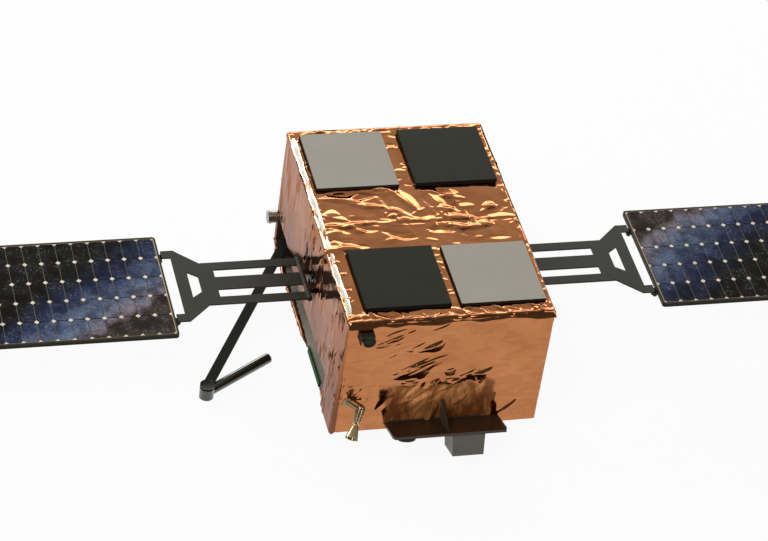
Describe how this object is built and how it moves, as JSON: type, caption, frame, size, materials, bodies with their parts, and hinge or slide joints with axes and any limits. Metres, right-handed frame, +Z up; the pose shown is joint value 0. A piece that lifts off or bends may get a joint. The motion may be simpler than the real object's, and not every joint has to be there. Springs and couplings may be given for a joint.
{
  "type": "small satellite",
  "caption": "Foil-wrapped box satellite with two folding solar wings, a folding side boom, flat top antennas, a sensor shelf and a side thruster on a launch ring.",
  "frame": {"origin": "centre of the launch ring's bottom face, on the plane that the satellite stands on", "axes": "+Z up from the launch ring to the flat antennas, X along the solar wings, -Y towards the sensor shelf and the thruster"},
  "size_m": [3.063, 0.8735, 0.416],
  "materials": {
    "ring_metal": "satin machined",
    "structure": "satin sandwich skin",
    "foil": "crinkled mirror-bright copper-gold polyimide foil",
    "light_plate": "satin light grey",
    "dark_plate": "satin near-black",
    "black_parts": "matt black",
    "thruster_brass": "polished",
    "shelf_brown": "satin very dark brown",
    "camera_grey": "satin dark grey",
    "green_board": "dark green solder mask",
    "canister_metal": "bright satin",
    "bay_grey": "satin grey",
    "dark_arm": "satin dark olive grey",
    "dark_rod": "glossy carbon tube",
    "wing_panel": "dark panel edge, blue-black solar cells on top"
  },
  "bodies": {
    "body": {"adapter_ring": "ring_metal", "bottom_panel": "structure", "top_panel": "structure", "front_panel": "structure", "back_panel": "structure", "left_panel": "structure", "right_panel": "structure", "equipment_block": "structure", "bottom_blanket": "foil", "top_blanket": "foil", "front_blanket": "foil", "back_blanket": "foil", "left_blanket": "foil", "right_blanket": "foil", "antenna_rear_left": "light_plate", "antenna_front_right": "light_plate", "antenna_rear_right": "dark_plate", "antenna_front_left": "dark_plate", "sun_sensor": "black_parts", "sensor_hood": "black_parts", "thruster_pipe": "thruster_brass", "thruster_nozzle": "thruster_brass", "sensor_shelf": "shelf_brown", "shelf_fin": "shelf_brown", "camera_box": "camera_grey", "round_sensor": "black_parts", "side_board": "green_board", "rear_canister": "canister_metal", "boom_bay": "bay_grey", "boom_bracket": "dark_arm", "left_root_bracket": "dark_arm", "right_root_bracket": "dark_arm"},
    "boom_arm": {"boom_bar": "dark_arm"},
    "boom_tip": {"boom_rod": "dark_rod"},
    "left_yoke_body": {"left_yoke": "dark_arm"},
    "left_inner_body": {"left_inner_panel": "wing_panel"},
    "left_outer_body": {"left_outer_panel": "wing_panel"},
    "right_yoke_body": {"right_yoke": "dark_arm"},
    "right_inner_body": {"right_inner_panel": "wing_panel"},
    "right_outer_body": {"right_outer_panel": "wing_panel"}
  },
  "joints": [
    {"name": "left_wing_fold", "type": "hinge", "parent": "body", "child": "left_yoke_body", "pos_m": [-0.268, 0, 0.235], "axis": [0, 1, 0], "range_deg": [0, 90]},
    {"name": "left_inner_fold", "type": "hinge", "parent": "left_yoke_body", "child": "left_inner_body", "pos_m": [-0.605, 0, 0.223], "axis": [0, 1, 0], "range_deg": [-180, 0]},
    {"name": "left_outer_fold", "type": "hinge", "parent": "left_inner_body", "child": "left_outer_body", "pos_m": [-1.0695, 0, 0.247], "axis": [0, 1, 0], "range_deg": [0, 180]},
    {"name": "right_wing_fold", "type": "hinge", "parent": "body", "child": "right_yoke_body", "pos_m": [0.268, 0, 0.235], "axis": [0, -1, 0], "range_deg": [0, 90]},
    {"name": "right_inner_fold", "type": "hinge", "parent": "right_yoke_body", "child": "right_inner_body", "pos_m": [0.605, 0, 0.223], "axis": [0, -1, 0], "range_deg": [-180, 0]},
    {"name": "right_outer_fold", "type": "hinge", "parent": "right_inner_body", "child": "right_outer_body", "pos_m": [1.0695, 0, 0.247], "axis": [0, -1, 0], "range_deg": [0, 180]},
    {"name": "boom_swing", "type": "hinge", "parent": "body", "child": "boom_arm", "pos_m": [-0.232, 0.313, 0.098], "axis": [0, 0, 1], "range_deg": [-60, 24]},
    {"name": "rod_fold", "type": "hinge", "parent": "boom_arm", "child": "boom_tip", "pos_m": [-0.536, -0.21354, 0.098], "axis": [0, 0, 1], "range_deg": [-70.5, 28.2]}
  ],
  "couplings": [
    {"joint": "left_inner_fold", "follows": "left_wing_fold", "ratio": -2},
    {"joint": "left_outer_fold", "follows": "left_wing_fold", "ratio": 2},
    {"joint": "right_inner_fold", "follows": "right_wing_fold", "ratio": -2},
    {"joint": "right_outer_fold", "follows": "right_wing_fold", "ratio": 2},
    {"joint": "rod_fold", "follows": "boom_swing", "ratio": 1.175}
  ]
}
